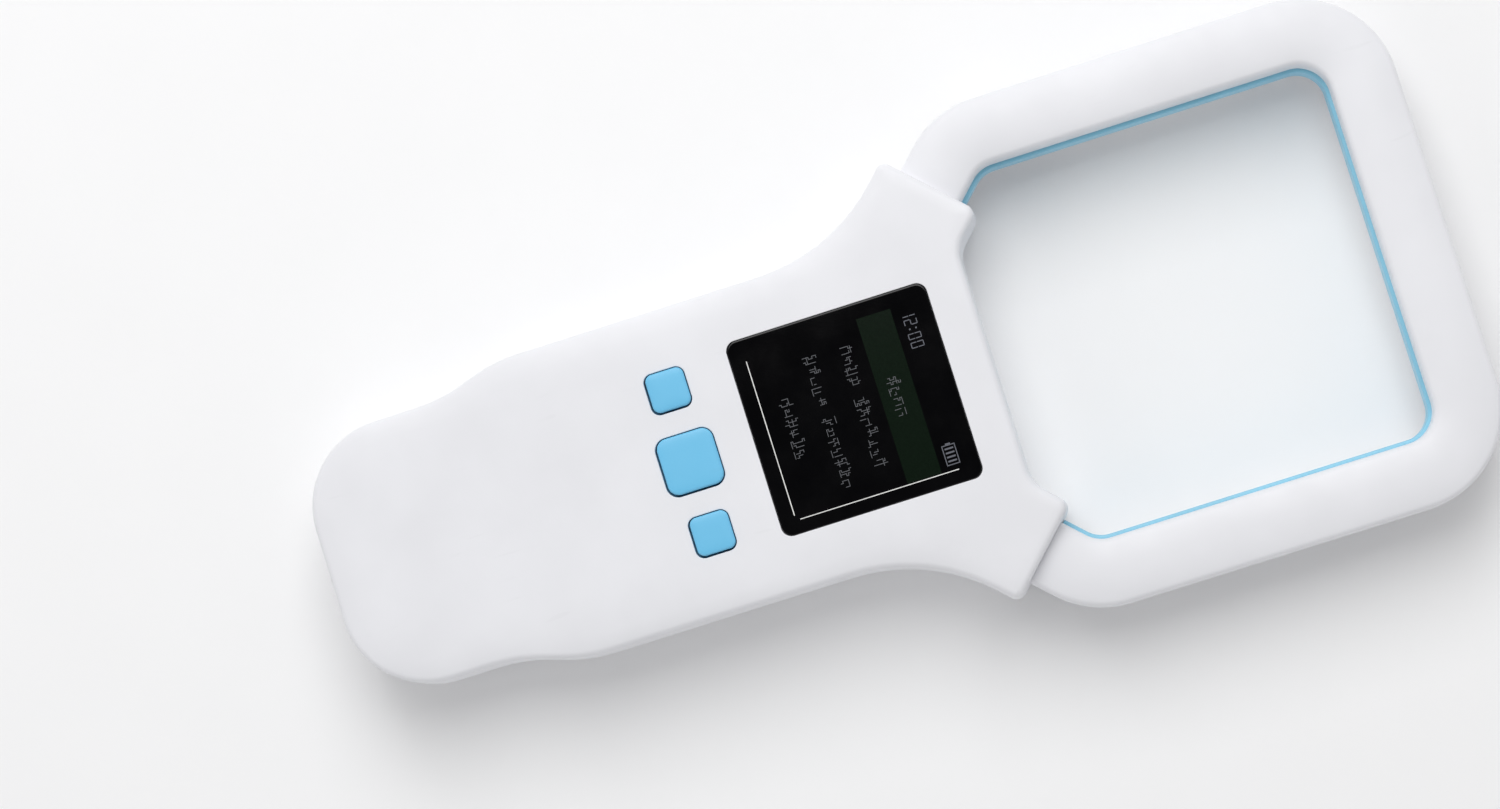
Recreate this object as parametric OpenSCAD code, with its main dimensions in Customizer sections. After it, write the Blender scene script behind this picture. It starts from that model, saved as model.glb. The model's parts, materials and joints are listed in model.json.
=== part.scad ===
// Hand-held reader for pet microchips: a flat handle with a small screen and three keys,
// and a rectangular antenna loop carried on two short arms.
// It lies on its back: Z comes out of the front face and Y points to the loop.
// The origin is under the middle of the whole object, on the surface that it rests on.

/* [Overall] */
// Length from the end of the handle to the top of the loop
total_len = 184; // [180:1:190]
// Thickness of the handle
body_h = 20; // [20:0.5:23]

/* [Antenna loop] */
// Outer width of the loop
loop_w = 83.4; // [80:0.2:88]
// Width of the loop's tube, seen from the front
tube_w = 10.8; // [10.4:0.1:11.6]
// Height of the loop's tube
tube_h = 14; // [13:0.5:14]
// Bend radius of the tube's centre line
bend_r = 10.6; // [8:0.2:13]
// Y of the point where each side turns in towards the handle
arm_turn_y = 22.9; // [20:0.1:26]
// Length of each arm, from that point to the face of its collar
arm_len = 8.5; // [8:0.1:10]
// How far the coloured strip stands out of the loop's inner wall
trim_proud = 0.6; // [0.4:0.05:1]

/* [Handle] */
// Width of the handle beside the screen
handle_w = 49.6; // [48:0.2:52]
// Width of the handle at the grip
grip_w = 43; // [41:0.5:46]
// Width of the collar around each arm
collar_w = 17.6; // [16.6:0.1:18.2]
// Y of the edge between the two arms
yoke_y = 18.2; // [17:0.1:19]
// Corner radius at the end of the handle
end_r = 14; // [10:1:18]
// Side and rear wall thickness
wall = 2; // [1.8:0.1:2.2]
// Front wall thickness
front_wall = 2.6; // [2.4:0.1:2.8]

/* [Screen] */
// Y of the middle of the screen
screen_y = -5; // [-6:0.5:-4.5]
// Width of the window
window_w = 31.8; // [30:0.1:33]
// Height of the window
window_len = 32.7; // [31:0.1:34]
// Corner radius of the window
window_r = 1.7; // [1:0.1:3]
// Side of the square active area
active_w = 27.7; // [26:0.1:28]

/* [Keys] */
// Y of the row of keys
key_y = -31.9; // [-33:0.1:-31]
// Side of the middle key
middle_key = 9.1; // [8:0.1:10]
// Side of each outer key
outer_key = 6.2; // [6:0.1:7]
// Distance from the middle key's centre to each outer key's centre
key_pitch = 11.75; // [11.5:0.25:12.5]
// How far a key travels
key_travel = 0.5; // [0.3:0.05:0.5]
// Gap around each key
key_gap = 0.25; // [0.25:0.05:0.4]

/* [Power] */
// Width of the battery
battery_w = 34; // [30:1:34]
// Length of the battery
battery_len = 40; // [34:1:40]
// Thickness of the battery
battery_t = 6; // [4:0.5:6.5]

/* [Hidden] */

$fn = 48;
// Largest turn between two points of an arc, in degrees
arc_step = 7.5;
// Cuts run this far past the faces that they open
over = 1;
// Gap between fixed pieces that slip into each other
slip = 0.1;
root2 = sqrt(2);

// Heights, from the rest surface up
parting = body_h / 2;
wall_in = body_h - front_wall;
tube_z0 = parting - tube_h / 2;
tube_z1 = parting + tube_h / 2;
window_t = 1.5;
adhesive_t = 0.15;
pocket_z = body_h - window_t - adhesive_t;
foam_t = 0.5;
panel_z1 = wall_in - foam_t;
panel_t = 1.8;
panel_z0 = panel_z1 - panel_t;
frame_ledge = 2.1;
board_z1 = panel_z0 - frame_ledge;
board_t = 1.6;
board_z0 = board_z1 - board_t;

// Antenna loop
tube_wall = 1.8;
side_x = loop_w / 2 - tube_w / 2;
top_y = total_len / 2 - tube_w / 2;
flange_t = 2;
flange_w = collar_w - 2 * wall - 0.6;
flange_at = arm_len + wall + slip;
tube_end = flange_at + flange_t;
trim_h = 5;
trim_seat = 0.8;
coil_w = 2.8;
coil_h = 2.8;
former_w = 5.6;
former_floor = 1.3;
coil_z0 = parting - coil_h / 2;
former_z0 = coil_z0 - former_floor;
former_z1 = coil_z0 + coil_h + 0.8;
coil_cross_y = 13.9;
coil_bend_r = 4;

// Handle outline: the two edges of each arm lie on lines of constant x - y
arm_line = side_x - arm_turn_y;
outer_line = arm_line + collar_w / root2;
inner_line = arm_line - collar_w / root2;
face_sum = side_x + arm_turn_y - arm_len * root2;
flank_r = 30;
grip_r = 25;
grip_y0 = -67;
grip_y1 = -57;
yoke_r = 5.5;
collar_out_r = 1.7;
collar_in_r = 2;

// Screen pieces
aperture_w = active_w + 0.9;
panel_w = 31.5;
panel_len = 33.7;
frame_rim = 1.25;
panel_slip = 0.1;
ribbon_w = 12;
ribbon_t = 0.3;
ribbon_y = -25.4;
connector_w = 15;
connector_len = 3;
connector_h = 1.2;

// Keys and switches
key_proud = 0.5;
key_r = 1.75;
key_wall = 1.2;
key_lip = 0.7;
key_lip_z1 = wall_in - 0.3;
key_lip_t = 0.6;
stem_r = 1.6;
switch_w = 6;
switch_h = 2;
plunger_r = 1.7;
plunger_slip = 0.08;
plunger_z1 = board_z1 + switch_h + key_travel + 0.3;
plunger_z0 = board_z1 + 1.3;
dome_t = 0.12;
dome_h = 0.75;
well_floor = 0.4;

// Main board
board_w = 37;
board_y0 = -70;
board_y1 = 13;
tongue_w = 17;
tongue_end_gap = 0.6;
tongue_y0 = -total_len / 2 + wall + tongue_end_gap;

// Charging socket in the end of the handle
socket_w = 8.9;
socket_h = 3.2;
socket_len = 7.4;
socket_y0 = -total_len / 2 + 0.5;
socket_skin = 0.3;
socket_slip = 0.25;

// Screws: radius of the shank, radius and height of the head
case_screw = [1.1, 2.1, 1.4];
board_screw = [0.85, 1.8, 1.4];
case_post_r = 3.4;
board_post_r = 2.4;
head_seat_z = 2.2;
case_screw_z1 = 14.5;
board_screw_z1 = board_z1 + 3.4;
case_screw_points = [[-23, 5], [23, 5], [-14, -79], [14, -79]];
board_screw_points = [[-15.5, -42], [15.5, -42], [-15, -64], [15, -64]];

// Battery
battery_y1 = -32;
pad_t = 0.6;
battery_z0 = wall + pad_t;
battery_z1 = battery_z0 + battery_t;
rib_t = 1.2;
rib_h = 4;
rib_len = 6;
rib_from_end = 6;

// Parts under the board: centre, then width, length and height
chip_color = [0.12, 0.12, 0.13];
processor_at = [-7, -10];
processor_size = [7, 7, 1.4];
reader_at = [10, 3];
reader_size = [4, 6, 1.5];
charger_at = [-2, -76];
charger_size = [3, 3, 1.1];
crystal_at = [-14, -10];
crystal_size = [2, 5, 1.8];
inductor_at = [3, -76];
inductor_size = [4, 4, 2];
capacitor_at = [-13, 4];
capacitor_size = [1.6, 0.8, 0.8];
capacitor_pitch = 2.4;
plug_size = [5, 3, 2];
header_size = [6, 4, 2.8];
header_gap = 3.5;
plug_r = 0.3;
lead_w = 0.8;
lead_r = 0.8;
plug_z0 = board_z0 - header_size.z + (header_size.z - plug_size.z) / 2;
lead_z0 = plug_z0 + (plug_size.z - lead_w) / 2;
coil_header_y = 3;
battery_plug_at = [-12, battery_y1 + 3.5];

// Buzzer
buzzer_at = [9, -13];
buzzer_r = 6;
buzzer_h = 5;
sound_hole_r = 0.6;
sound_hole_pitch = 2.4;

// ---------- Paths: a path is a list of corners [x, y, radius] ----------

function xy(p) = [p.x, p.y];
function unit(a) = a / norm(a);
function turn(a) = a > 180 ? a - 360 : a < -180 ? a + 360 : a;
function reversed(v) = [for (i = [len(v) - 1:-1:0]) v[i]];
function mirrored(v) = [for (p = v) [-p.x, p.y, p.z]];

// Points of the arc that rounds corner p, between its neighbours a and b
function corner(a, p, b) =
    let (
        to_a = unit(xy(a) - xy(p)),
        to_b = unit(xy(b) - xy(p)),
        half = acos(to_a * to_b) / 2,
        centre = xy(p) + unit(to_a + to_b) * p.z / sin(half),
        first = xy(p) + to_a * p.z / tan(half) - centre,
        last = xy(p) + to_b * p.z / tan(half) - centre,
        from = atan2(first.y, first.x),
        sweep = turn(atan2(last.y, last.x) - from),
        n = max(1, ceil(abs(sweep) / arc_step))
    )
    [for (i = [0:n]) centre + p.z * [cos(from + sweep * i / n), sin(from + sweep * i / n)]];

// Outline of a closed path with its corners rounded
function rounded(v) =
    let (n = len(v))
    [for (i = [0:n - 1]) each v[i].z > 0
        ? corner(v[(i + n - 1) % n], v[i], v[(i + 1) % n])
        : [xy(v[i])]];

// The same path moved to its left by d: inwards on an anticlockwise closed path
function shifted(v, d, closed = true) =
    let (n = len(v))
    [for (i = [0:n - 1])
        let (
            p = xy(v[i]),
            has_in = closed || i > 0,
            has_out = closed || i < n - 1,
            step_in = has_in ? unit(p - xy(v[(i + n - 1) % n])) : [0, 0],
            step_out = has_out ? unit(xy(v[(i + 1) % n]) - p) : step_in,
            e1 = has_in ? step_in : step_out,
            e2 = step_out,
            side = [-e1.y - e2.y, e1.x + e2.x] / (1 + e1 * e2),
            q = p + d * side,
            bend = e1.x * e2.y - e1.y * e2.x,
            r = bend >= 0 ? v[i].z - d : v[i].z + d
        )
        [q.x, q.y, v[i].z > 0 ? max(0, r) : 0]];

// Outline of the strip that lies between offsets d0 and d1 of an open path
function strip(v, d0, d1) = rounded(concat(shifted(v, d1, false), reversed(shifted(v, d0, false))));

// Corners of a rectangle around centre c
function rectangle(w, len, r, c = [0, 0]) = [
    [c.x - w / 2, c.y - len / 2, r],
    [c.x + w / 2, c.y - len / 2, r],
    [c.x + w / 2, c.y + len / 2, r],
    [c.x - w / 2, c.y + len / 2, r]
];

// A point on an arm's centre line, a distance along it from the bend; side is -1 or 1
function arm_point(side, along) = [side * (side_x - along / root2), arm_turn_y - along / root2, 0];

// Centre line of the loop's tube, from the left arm over the top to the right arm
function loop_path(end) = [
    arm_point(-1, end),
    [-side_x, arm_turn_y, bend_r],
    [-side_x, top_y, bend_r],
    [side_x, top_y, bend_r],
    [side_x, arm_turn_y, bend_r],
    arm_point(1, end)
];

// Right half of the handle's outline, from its end up to the yoke
right_half = [
    [grip_w / 2, -total_len / 2, end_r],
    [grip_w / 2, grip_y0, grip_r],
    [handle_w / 2, grip_y1, grip_r],
    [handle_w / 2, handle_w / 2 - outer_line, flank_r],
    [(face_sum + outer_line) / 2, (face_sum - outer_line) / 2, collar_out_r],
    [(face_sum + inner_line) / 2, (face_sum - inner_line) / 2, collar_in_r],
    [yoke_y + inner_line, yoke_y, yoke_r]
];
handle_path = concat(right_half, reversed(mirrored(right_half)));

// The winding closes inside the yoke
coil_corner_x = coil_cross_y + arm_line;
coil_path = [
    [-coil_corner_x, coil_cross_y, coil_bend_r],
    [coil_corner_x, coil_cross_y, coil_bend_r],
    [side_x, arm_turn_y, bend_r],
    [side_x, top_y, bend_r],
    [-side_x, top_y, bend_r],
    [-side_x, arm_turn_y, bend_r]
];

// ---------- Building blocks ----------

module prism(points, z0, z1) {
    translate([0, 0, z0])
        linear_extrude(z1 - z0)
            polygon(points);
}

module plate(w, len, r, c, z0, z1) {
    prism(rounded(rectangle(w, len, r, c)), z0, z1);
}

module rod(p, r, z0, z1) {
    translate([p.x, p.y, z0])
        cylinder(h = z1 - z0, r = r);
}

// Extrudes an outline drawn in Y and Z along X, centred on x
module across(points, x, w) {
    translate([x - w / 2, 0, 0])
        rotate([90, 0, 90])
            linear_extrude(w)
                polygon(points);
}

// Extrudes an outline drawn in X and Z along +Y
module along_y(points, y0, y1) {
    translate([0, y1, 0])
        rotate([90, 0, 0])
            linear_extrude(y1 - y0)
                polygon(points);
}

module cross_slot(p, reach, z0, z1) {
    slot_w = 0.5;
    for (turned = [0, 90])
        translate([p.x, p.y, z0])
            rotate([0, 0, turned])
                translate([-reach, -slot_w / 2, 0])
                    cube([2 * reach, slot_w, z1 - z0]);
}

// Cross-head screw whose head rests on z_seat, with the shank going up to z1
module screw(p, size, z_seat, z1) {
    slot_depth = 0.8;
    difference() {
        union() {
            rod(p, size[0], z_seat - slip, z1);
            rod(p, size[1], z_seat - size[2], z_seat);
        }
        cross_slot(p, size[1] * 0.6, z_seat - size[2] - over, z_seat - size[2] + slot_depth);
    }
}

// Surface-mount chip under the board, with a row of legs on two sides
module chip(c, size, legs) {
    leg_w = 0.3;
    leg_out = 0.7;
    leg_t = 0.2;
    leg_pitch = size.y / (legs + 1);
    y0 = c.y - size.y / 2;
    color(chip_color) {
        translate([c.x - size.x / 2, y0, board_z0 - size.z])
            cube([size.x, size.y, size.z - leg_t]);
        for (i = [1:legs])
            translate([c.x - size.x / 2 - leg_out, y0 + i * leg_pitch - leg_w / 2, board_z0 - 2 * leg_t])
                cube([size.x + 2 * leg_out, leg_w, 2 * leg_t]);
    }
}

// Plain part that hangs under the board
module under_board(c, size, r) {
    plate(size.x, size.y, r, c, board_z0 - size.z, board_z0);
}

// ---------- Handle ----------

module loop_sockets(z0, z1) {
    prism(strip(loop_path(tube_end), -tube_w / 2 - slip, tube_w / 2 + slip), z0, z1);
}

module key_openings() {
    for (side = [-1, 0, 1]) {
        w = side == 0 ? middle_key : outer_key;
        plate(w + 2 * key_gap, w + 2 * key_gap, key_corner(w) + key_gap,
              [side * key_pitch, key_y], wall_in - over, body_h + over);
    }
}

module front_shell() {
    pilot_slip = 0.05;
    color("whitesmoke")
    difference() {
        union() {
            difference() {
                prism(rounded(handle_path), parting, body_h);
                prism(rounded(shifted(handle_path, wall)), parting - over, wall_in);
            }
            for (p = case_screw_points) rod(p, case_post_r, parting, wall_in + slip);
            for (p = board_screw_points) rod(p, board_post_r, board_z1, wall_in + slip);
        }
        plate(window_w + 2 * slip, window_len + 2 * slip, window_r, [0, screen_y], pocket_z, body_h + over);
        plate(aperture_w, aperture_w, 0.5, [0, screen_y], wall_in - over, body_h);
        key_openings();
        loop_sockets(parting - over, tube_z1 + slip);
        along_y(rounded(rectangle(socket_w + 2 * socket_slip, socket_h + 2 * socket_slip,
                                  socket_h / 2, [0, board_z1 + socket_h / 2])),
                -total_len / 2 - over, -total_len / 2 + wall + over);
        for (p = case_screw_points) rod(p, case_screw[0] + pilot_slip, parting - over, case_screw_z1 + 0.5);
        for (p = board_screw_points) rod(p, board_screw[0] + pilot_slip, board_z1 - over, board_screw_z1 + 0.4);
    }
}

module rear_shell() {
    hole_slip = 0.15;
    head_slip = 0.2;
    color("gainsboro")
    difference() {
        union() {
            difference() {
                prism(rounded(handle_path), 0, parting);
                prism(rounded(shifted(handle_path, wall)), wall, parting + over);
            }
            for (p = case_screw_points) rod(p, case_post_r, wall - slip, parting);
            for (side = [-1, 1], y = [battery_y1 - rib_from_end, battery_y1 - battery_len + rib_from_end])
                translate([side * (battery_w / 2 + rib_t) - rib_t / 2, y - rib_len / 2, wall - slip])
                    cube([rib_t, rib_len, rib_h]);
        }
        loop_sockets(tube_z0 - slip, parting + over);
        for (p = case_screw_points) {
            rod(p, case_screw[1] + head_slip, -over, head_seat_z);
            rod(p, case_screw[0] + hole_slip, 0, parting + over);
        }
        for (i = [-1, 0, 1])
            rod(buzzer_at + [i * sound_hole_pitch, 0], sound_hole_r, -over, wall + over);
    }
}

// ---------- Antenna loop ----------

// The tube's outline ends in a flange behind each collar's wall
function flange(side, d) = side > 0
    ? shifted([arm_point(1, flange_at), arm_point(1, tube_end)], d, false)
    : shifted([arm_point(-1, tube_end), arm_point(-1, flange_at)], d, false);

tube_path = concat(
    shifted(loop_path(flange_at), tube_w / 2, false),
    flange(1, flange_w / 2),
    reversed(flange(1, -flange_w / 2)),
    reversed(shifted(loop_path(flange_at), -tube_w / 2, false)),
    reversed(flange(-1, -flange_w / 2)),
    flange(-1, flange_w / 2)
);

module loop_tube(z0, z1) {
    prism(rounded(tube_path), z0, z1);
}

module loop_hollow(z0, z1) {
    half = tube_w / 2 - tube_wall;
    prism(strip(loop_path(tube_end + over), -half, half), z0, z1);
}

module trim_strip(d0, d1) {
    prism(strip(loop_path(arm_len - slip), d0, d1), parting - trim_h / 2, parting + trim_h / 2);
}

module loop_front_shell() {
    color("whitesmoke")
    difference() {
        loop_tube(parting, tube_z1);
        loop_hollow(parting - over, tube_z1 - tube_wall);
        trim_strip(-tube_w, -tube_w / 2 + trim_seat);
    }
}

module loop_rear_shell() {
    color("gainsboro")
    difference() {
        loop_tube(tube_z0, parting);
        loop_hollow(tube_z0 + tube_wall, parting + over);
        trim_strip(-tube_w, -tube_w / 2 + trim_seat);
    }
}

module loop_inner_trim() {
    color("skyblue")
        trim_strip(-tube_w / 2 - trim_proud, -tube_w / 2 + trim_seat);
}

module coil_former() {
    color("ivory")
    difference() {
        prism(strip(loop_path(arm_len), -former_w / 2, former_w / 2), former_z0, former_z1);
        prism(strip(loop_path(arm_len + over), -coil_w / 2, coil_w / 2), coil_z0, former_z1 + over);
    }
}

module antenna_coil() {
    color("peru")
    difference() {
        prism(rounded(shifted(coil_path, -coil_w / 2)), coil_z0, coil_z0 + coil_h);
        prism(rounded(shifted(coil_path, coil_w / 2)), coil_z0 - over, coil_z0 + coil_h + over);
    }
}

// The coil's two leads plug into the board from the yoke side
module coil_leads() {
    plug_y1 = coil_header_y + header_gap + plug_size.y / 2;
    coil_edge_y = coil_cross_y - coil_w / 2;
    bend_y = (plug_y1 + coil_edge_y) / 2;
    reach = 7;
    color("firebrick")
    for (side = [-1, 1])
        prism(strip([
            [side, plug_y1, 0],
            [side, bend_y, lead_r],
            [side * reach, bend_y, lead_r],
            [side * reach, coil_edge_y, 0]
        ], -lead_w / 2, lead_w / 2), lead_z0, lead_z0 + lead_w);
}

module plug(c) {
    color("ivory")
        plate(plug_size.x, plug_size.y, plug_r, c, plug_z0, plug_z0 + plug_size.z);
}

module header(c) {
    color("white")
        under_board(c, header_size, plug_r);
}

module coil_plug() { plug([0, coil_header_y + header_gap]); }
module coil_header() { header([0, coil_header_y]); }

// ---------- Screen ----------

module display_window() {
    color("black")
        plate(window_w, window_len, window_r, [0, screen_y], body_h - window_t, body_h);
}

module ring(w, len, r, inner_w, inner_len, z0, z1) {
    difference() {
        plate(w, len, r, [0, screen_y], z0, z1);
        plate(inner_w, inner_len, 0.3, [0, screen_y], z0 - over, z1 + over);
    }
}

module window_adhesive() {
    color("dimgray")
        ring(window_w - 0.6, window_len - 0.6, window_r, aperture_w + 0.4, aperture_w + 0.4,
             pocket_z, pocket_z + adhesive_t);
}

module display_foam() {
    color("darkslategray")
        ring(panel_w, panel_len, 0.5, aperture_w + 0.4, aperture_w + 0.4, panel_z1, wall_in);
}

module display_panel() {
    color("dimgray")
        plate(panel_w, panel_len, 0.4, [0, screen_y], panel_z0, panel_z1);
}

module display_frame() {
    ledge_w = 2.5;
    color("lightgray")
    difference() {
        ring(panel_w + 2 * (panel_slip + frame_rim), panel_len + 2 * (panel_slip + frame_rim), 1,
             panel_w - 2 * ledge_w, panel_len - 2 * ledge_w, board_z1, panel_z1);
        plate(panel_w + 2 * panel_slip, panel_len + 2 * panel_slip, 0.4, [0, screen_y],
              panel_z0, panel_z1 + over);
        plate(ribbon_w + 1, 10, 0, [0, screen_y - panel_len / 2], board_z1 - over, panel_z0);
    }
}

ribbon_path = [
    [screen_y - panel_len / 2 + 4, panel_z0 - ribbon_t / 2, 0],
    [screen_y - panel_len / 2 - 0.3, panel_z0 - ribbon_t / 2, 0.6],
    [ribbon_y + 1.8, board_z1 + 0.55, 0.6],
    [ribbon_y, board_z1 + 0.55, 0]
];

module display_ribbon() {
    color("orange")
        across(strip(ribbon_path, -ribbon_t / 2, ribbon_t / 2), 0, ribbon_w);
}

module ribbon_connector() {
    color("black")
    difference() {
        plate(connector_w, connector_len, 0.2, [0, ribbon_y], board_z1, board_z1 + connector_h);
        translate([-ribbon_w / 2, ribbon_y, board_z1 + 0.4])
            cube([ribbon_w, connector_len, ribbon_t]);
    }
}

// ---------- Keys ----------

function key_corner(w) = key_r * w / middle_key;

module key_cap(x, w) {
    c = [x, key_y];
    lip_w = w + 2 * key_lip;
    color("lightskyblue") {
        difference() {
            union() {
                plate(w, w, key_corner(w), c, key_lip_z1 - key_lip_t, body_h + key_proud);
                plate(lip_w, lip_w, key_corner(w), c, key_lip_z1 - key_lip_t, key_lip_z1);
            }
            plate(w - 2 * key_wall, w - 2 * key_wall, 0.6, c,
                  key_lip_z1 - key_lip_t - over, body_h + key_proud - key_wall);
        }
        rod(c, stem_r, plunger_z1, body_h + key_proud - key_wall + slip);
    }
}

module switch_plunger(x) {
    color("dimgray")
        rod([x, key_y], plunger_r, plunger_z0, plunger_z1);
}

// Thin dished disc that snaps through when the plunger presses it
module snap_dome(x) {
    rim_r = plunger_r - 0.1;
    z0 = board_z1 + well_floor;
    color("silver")
    translate([x, key_y, z0])
        rotate_extrude()
            polygon([
                [0, dome_h],
                [rim_r * 0.5, dome_h * 0.8],
                [rim_r, 0],
                [rim_r - dome_t, 0],
                [rim_r * 0.5 - dome_t / 2, dome_h * 0.8 - dome_t],
                [0, dome_h - dome_t]
            ]);
}

module switch_base(x) {
    color("darkgray")
    difference() {
        plate(switch_w, switch_w, 0.4, [x, key_y], board_z1, board_z1 + switch_h);
        rod([x, key_y], plunger_r + plunger_slip, board_z1 + well_floor, board_z1 + switch_h + over);
    }
}

module left_key_cap() { key_cap(-key_pitch, outer_key); }
module middle_key_cap() { key_cap(0, middle_key); }
module right_key_cap() { key_cap(key_pitch, outer_key); }
module left_switch_plunger() { switch_plunger(-key_pitch); }
module middle_switch_plunger() { switch_plunger(0); }
module right_switch_plunger() { switch_plunger(key_pitch); }
module left_snap_dome() { snap_dome(-key_pitch); }
module middle_snap_dome() { snap_dome(0); }
module right_snap_dome() { snap_dome(key_pitch); }
module left_switch_base() { switch_base(-key_pitch); }
module middle_switch_base() { switch_base(0); }
module right_switch_base() { switch_base(key_pitch); }

// ---------- Board ----------

module main_board() {
    hole_slip = 0.2;
    board_half = [
        [tongue_w / 2, tongue_y0, 1],
        [tongue_w / 2, board_y0, 1.5],
        [board_w / 2, board_y0, 1],
        [board_w / 2, board_y1, 1]
    ];
    color("seagreen")
    difference() {
        prism(rounded(concat(board_half, reversed(mirrored(board_half)))), board_z0, board_z1);
        for (p = board_screw_points) rod(p, board_screw[0] + hole_slip, board_z0 - over, board_z1 + over);
    }
}

module processor_chip() {
    chip(processor_at, processor_size, 10);
}

module reader_chip() {
    chip(reader_at, reader_size, 5);
}

module charger_chip() {
    chip(charger_at, charger_size, 3);
}

module crystal() {
    color("silver")
        under_board(crystal_at, crystal_size, 0.9);
}

module tuning_capacitors() {
    color("tan")
    for (i = [0:3])
        under_board(capacitor_at + [i * capacitor_pitch, 0], capacitor_size, 0);
}

module power_inductor() {
    color("darkslategray")
        under_board(inductor_at, inductor_size, 0.8);
}

module buzzer() {
    port_r = 1;
    color("black")
    difference() {
        rod(buzzer_at, buzzer_r, board_z0 - buzzer_h, board_z0);
        rod(buzzer_at, port_r, board_z0 - buzzer_h - over, board_z0 - buzzer_h + 3);
    }
}

module charging_socket() {
    mid_z = board_z1 + socket_h / 2;
    color("silver")
    difference() {
        along_y(rounded(rectangle(socket_w, socket_h, socket_h / 2 - 0.1, [0, mid_z])),
                socket_y0, socket_y0 + socket_len);
        along_y(rounded(rectangle(socket_w - 2 * socket_skin, socket_h - 2 * socket_skin,
                                  socket_h / 2 - 0.1 - socket_skin, [0, mid_z])),
                socket_y0 - over, socket_y0 + socket_len - socket_skin);
    }
}

module socket_tongue() {
    mid_z = board_z1 + socket_h / 2;
    tongue_t = 0.7;
    contact_w = 6.7;
    set_back = 1;
    back_y = socket_y0 + socket_len - socket_skin;
    color("black")
        along_y(rounded(rectangle(contact_w, tongue_t, 0.2, [0, mid_z])), socket_y0 + set_back, back_y);
}

// ---------- Power ----------

module battery_cell() {
    color("lightsteelblue")
        plate(battery_w, battery_len, 1.5, [0, battery_y1 - battery_len / 2], battery_z0, battery_z1);
}

module battery_pad() {
    margin = 3;
    color("dimgray")
        plate(battery_w - 2 * margin, battery_len - 2 * margin, 1, [0, battery_y1 - battery_len / 2], wall, battery_z0);
}

module battery_leads() {
    cell_z = battery_z0 + battery_t / 2;
    plug_z = plug_z0 + plug_size.z / 2;
    plug_y0 = battery_plug_at.y - plug_size.y / 2;
    drop_y = (battery_y1 + plug_y0) / 2;
    bend = 0.5;
    color("firebrick")
    for (dx = [-1, 1])
        across(strip([
            [battery_y1, cell_z, 0],
            [drop_y, cell_z, bend],
            [drop_y, plug_z, bend],
            [plug_y0, plug_z, 0]
        ], -lead_w / 2, lead_w / 2), battery_plug_at.x + dx, lead_w);
}

module battery_plug() { plug(battery_plug_at); }
module battery_header() { header(battery_plug_at + [0, header_gap]); }

// ---------- Screws ----------

module board_screws() {
    color("silver")
        for (p = board_screw_points) screw(p, board_screw, board_z0, board_screw_z1);
}

module case_screws() {
    color("silver")
        for (p = case_screw_points) screw(p, case_screw, head_seat_z, case_screw_z1);
}

front_shell();
rear_shell();
loop_front_shell();
loop_rear_shell();
loop_inner_trim();
coil_former();
antenna_coil();
coil_leads();
coil_plug();
coil_header();
display_window();
window_adhesive();
display_foam();
display_panel();
display_frame();
display_ribbon();
ribbon_connector();
left_key_cap();
middle_key_cap();
right_key_cap();
left_switch_plunger();
middle_switch_plunger();
right_switch_plunger();
left_snap_dome();
middle_snap_dome();
right_snap_dome();
left_switch_base();
middle_switch_base();
right_switch_base();
main_board();
processor_chip();
reader_chip();
charger_chip();
crystal();
tuning_capacitors();
power_inductor();
buzzer();
charging_socket();
socket_tongue();
battery_cell();
battery_pad();
battery_leads();
battery_plug();
battery_header();
board_screws();
case_screws();
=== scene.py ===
"""Hand-held pet microchip scanner: the looks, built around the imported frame.

Lengths are in millimetres in the build functions and become metres in closed_mesh().
"""

import json
import math
import random

import bmesh
import bpy
import numpy as np
from mathutils import Matrix, Vector
from mathutils.geometry import delaunay_2d_cdt


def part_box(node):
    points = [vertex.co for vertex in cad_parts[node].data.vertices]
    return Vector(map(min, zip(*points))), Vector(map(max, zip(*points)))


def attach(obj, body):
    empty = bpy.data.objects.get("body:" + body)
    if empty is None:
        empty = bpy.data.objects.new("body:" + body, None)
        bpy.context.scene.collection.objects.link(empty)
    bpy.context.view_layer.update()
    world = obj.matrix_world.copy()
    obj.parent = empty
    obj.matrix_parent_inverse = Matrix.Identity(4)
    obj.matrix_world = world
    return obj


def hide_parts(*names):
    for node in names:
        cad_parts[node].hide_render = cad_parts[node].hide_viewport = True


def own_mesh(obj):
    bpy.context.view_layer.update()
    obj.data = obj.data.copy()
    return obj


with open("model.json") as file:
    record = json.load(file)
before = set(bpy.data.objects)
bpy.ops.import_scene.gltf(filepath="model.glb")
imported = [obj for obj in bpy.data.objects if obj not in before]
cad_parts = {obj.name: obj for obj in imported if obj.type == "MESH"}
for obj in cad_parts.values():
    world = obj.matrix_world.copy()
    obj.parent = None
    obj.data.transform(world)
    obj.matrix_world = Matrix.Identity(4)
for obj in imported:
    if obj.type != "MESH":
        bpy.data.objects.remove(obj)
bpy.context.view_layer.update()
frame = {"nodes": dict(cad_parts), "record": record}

MM = 0.001
ROOT2 = math.sqrt(2)
CASE = "case"


def box_mm(node):
    """The node's lowest and highest corners, in millimetres."""
    low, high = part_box(node)
    return low / MM, high / MM


# ---------------------------------------------------------------- dimensions

shell_low, shell_high = box_mm("front_shell")
tube_low, tube_high = box_mm("loop_front_shell")
trim_low, trim_high = box_mm("loop_inner_trim")
window_low, window_high = box_mm("display_window")
port_low, port_high = box_mm("charging_socket")

TOP = shell_high.z
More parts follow.
